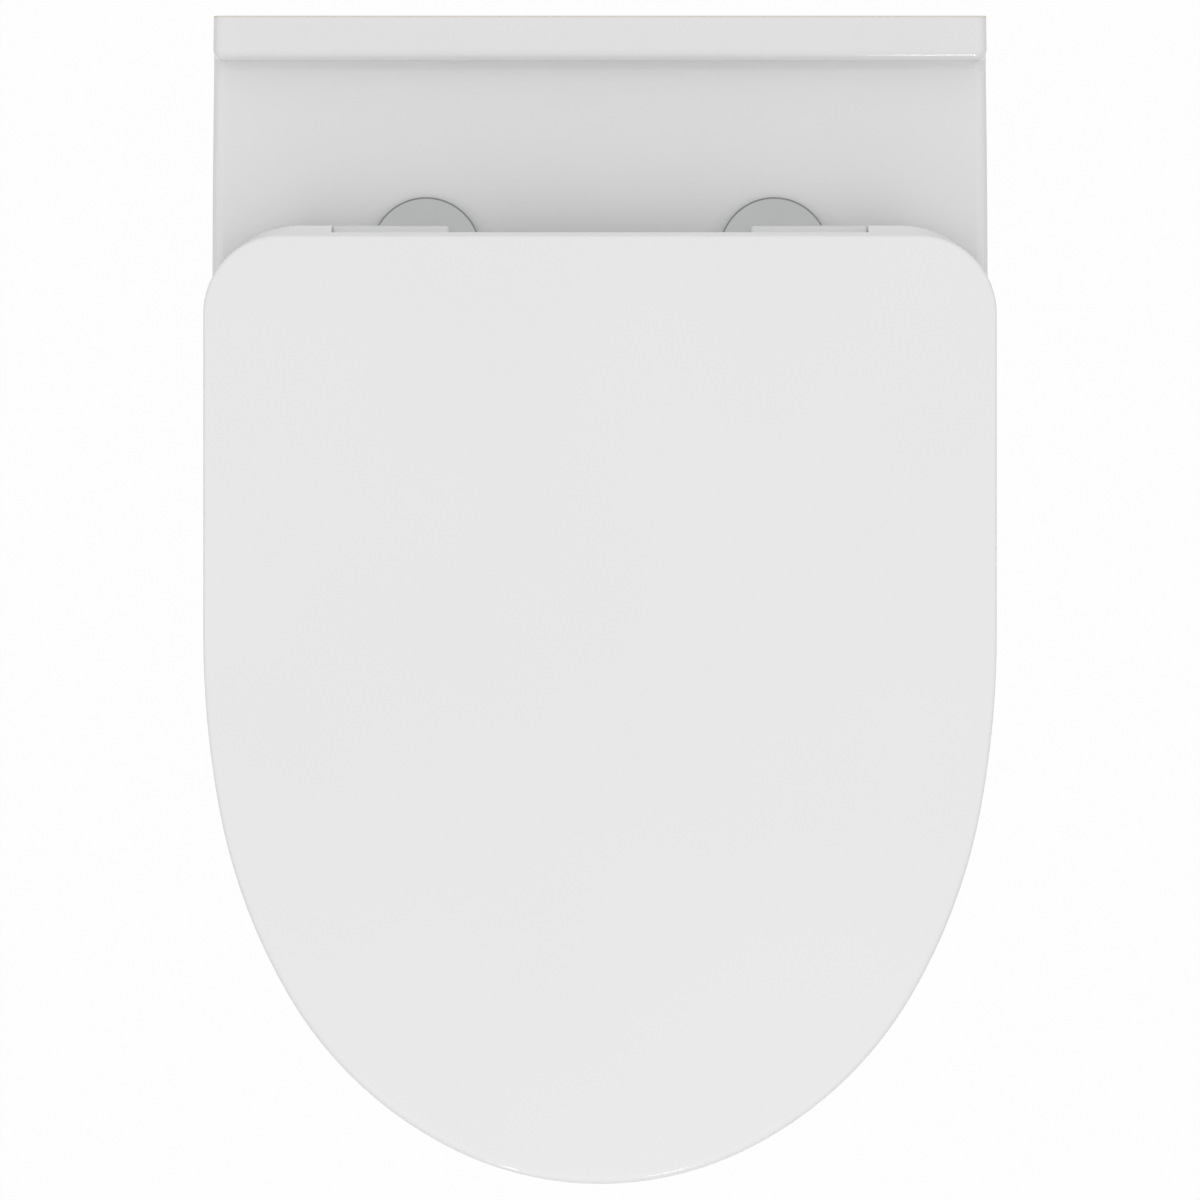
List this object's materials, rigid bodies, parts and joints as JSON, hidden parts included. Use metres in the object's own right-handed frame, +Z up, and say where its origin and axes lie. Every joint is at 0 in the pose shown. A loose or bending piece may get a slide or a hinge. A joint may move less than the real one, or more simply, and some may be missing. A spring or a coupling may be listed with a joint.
{
  "type": "wall-hung toilet",
  "caption": "Wall-hung toilet with a rimless ceramic pan, a hidden trap, a seat ring and a D-shaped soft-close lid on hinges behind the bowl.",
  "frame": {"origin": "on the wall plane, midway between the two wall studs", "axes": "+Y into the wall, +Z up, +X to the right of someone who faces the wall"},
  "size_m": [0.366, 0.54, 0.3785],
  "materials": {
    "glazed_china": "gloss",
    "seat_plastic": "gloss",
    "satin_chrome": "satin",
    "zinc_steel": "satin",
    "brass": "satin",
    "black_plastic": "matte",
    "white_plastic": "satin",
    "grey_rubber": "matte",
    "black_rubber": "matte"
  },
  "bodies": {
    "pan_body": {"pan": "glazed_china", "inlet_seal": "black_rubber", "hinge_disc_left": "satin_chrome", "hinge_disc_right": "satin_chrome", "hinge_base_left": "black_plastic", "hinge_base_right": "black_plastic", "hinge_block_left": "seat_plastic", "hinge_block_right": "seat_plastic", "hinge_bolt_left": "zinc_steel", "hinge_bolt_right": "zinc_steel", "hinge_set_screw_left": "zinc_steel", "hinge_set_screw_right": "zinc_steel", "expansion_sleeve_left": "black_rubber", "expansion_sleeve_right": "black_rubber", "cone_nut_left": "brass", "cone_nut_right": "brass", "wall_bracket_left": "black_plastic", "wall_bracket_right": "black_plastic", "wall_washer_left": "zinc_steel", "wall_washer_right": "zinc_steel", "wall_nut_left": "zinc_steel", "wall_nut_right": "zinc_steel", "side_bush_left": "white_plastic", "side_bush_right": "white_plastic", "side_screw_left": "zinc_steel", "side_screw_right": "zinc_steel", "side_cap_left": "white_plastic", "side_cap_right": "white_plastic", "seat_damper": "black_plastic", "lid_damper": "black_plastic"},
    "seat_body": {"seat_ring": "seat_plastic", "seat_buffers": "grey_rubber", "seat_damper_shaft": "zinc_steel", "seat_pivot_pin": "zinc_steel"},
    "lid_body": {"lid": "seat_plastic", "lid_buffers": "grey_rubber", "lid_damper_shaft": "zinc_steel", "lid_pivot_pin": "zinc_steel"}
  },
  "joints": [
    {"name": "lid_lift", "type": "hinge", "parent": "pan_body", "child": "lid_body", "pos_m": [0, -0.109, 0.1042], "axis": [-1, 0, 0], "range_deg": [0, 100]},
    {"name": "seat_lift", "type": "hinge", "parent": "pan_body", "child": "seat_body", "pos_m": [0, -0.109, 0.1042], "axis": [-1, 0, 0], "range_deg": [0, 95]}
  ],
  "couplings": [
    {"joint": "seat_lift", "follows": "lid_lift", "ratio": 0.95}
  ]
}
